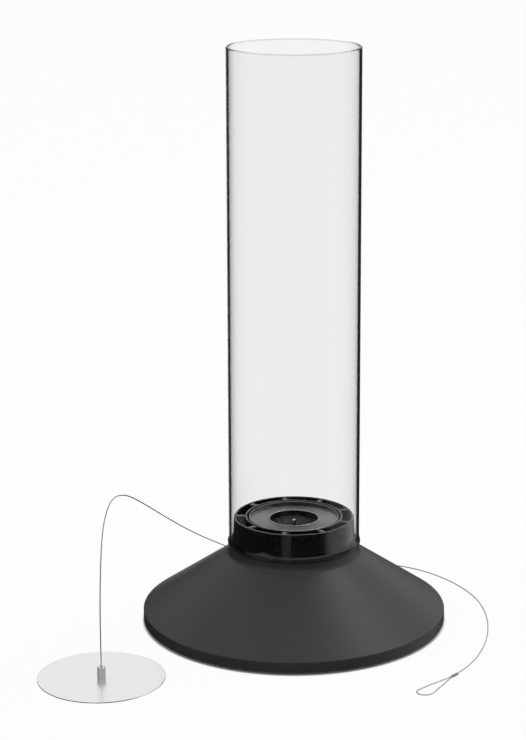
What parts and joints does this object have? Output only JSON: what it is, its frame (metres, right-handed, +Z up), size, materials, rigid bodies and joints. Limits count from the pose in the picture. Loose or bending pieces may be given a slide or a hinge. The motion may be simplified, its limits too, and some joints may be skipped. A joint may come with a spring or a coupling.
{
  "type": "tabletop fireplace",
  "caption": "Tabletop fireplace: glass tube on a black cone base with a lift-out fuel can, and a loose snuffer disc on a stiff steel cable.",
  "frame": {"origin": "centre of the base's underside, on the plane of its five feet", "axes": "+Z up along the glass tube's axis, -Y towards the viewer, +X to the viewer's right"},
  "size_m": [0.4012, 0.3508, 0.53],
  "materials": {
    "black_lacquer": "satin",
    "black_enamel": "gloss",
    "coated_steel": "matte",
    "foot_rubber": "matte",
    "gasket_silicone": "satin",
    "screw_steel": "satin",
    "clear_glass": "polished",
    "satin_steel": "satin",
    "bright_steel": "polished",
    "ceramic_wool": "matte",
    "disc_steel": "satin",
    "cable_steel": "satin"
  },
  "bodies": {
    "base": {"base_cone": "black_lacquer", "base_plate": "coated_steel", "foot_1": "foot_rubber", "foot_2": "foot_rubber", "foot_3": "foot_rubber", "foot_4": "foot_rubber", "foot_5": "foot_rubber", "plate_boss_1": "coated_steel", "plate_boss_2": "coated_steel", "plate_boss_3": "coated_steel", "plate_boss_4": "coated_steel", "plate_screws": "screw_steel", "collar_screws": "screw_steel", "glass_gasket": "gasket_silicone", "air_collar": "black_enamel", "can_guide": "coated_steel", "can_dish": "satin_steel", "dish_rivets": "screw_steel"},
    "glass": {"glass_tube": "clear_glass"},
    "burner": {"fuel_can": "satin_steel", "burner_plate": "satin_steel", "slotted_sleeve": "satin_steel", "ceramic_wool": "ceramic_wool", "centre_rod": "bright_steel", "rod_nut": "screw_steel"},
    "snuffer": {"snuffer_disc": "disc_steel", "disc_ferrule": "bright_steel", "snuffer_cable": "cable_steel", "crimp_sleeve": "cable_steel"}
  },
  "joints": [
    {"name": "glass_lift", "type": "slide", "parent": "base", "child": "glass", "axis": [0, 0, 1], "range_m": [0, 0.15]},
    {"name": "burner_lift", "type": "slide", "parent": "base", "child": "burner", "axis": [0, 0, 1], "range_m": [0, 0.11]},
    {"name": "snuffer_lift", "type": "slide", "parent": "base", "child": "snuffer", "axis": [0, 0, 1], "range_m": [0, 0.12]}
  ]
}
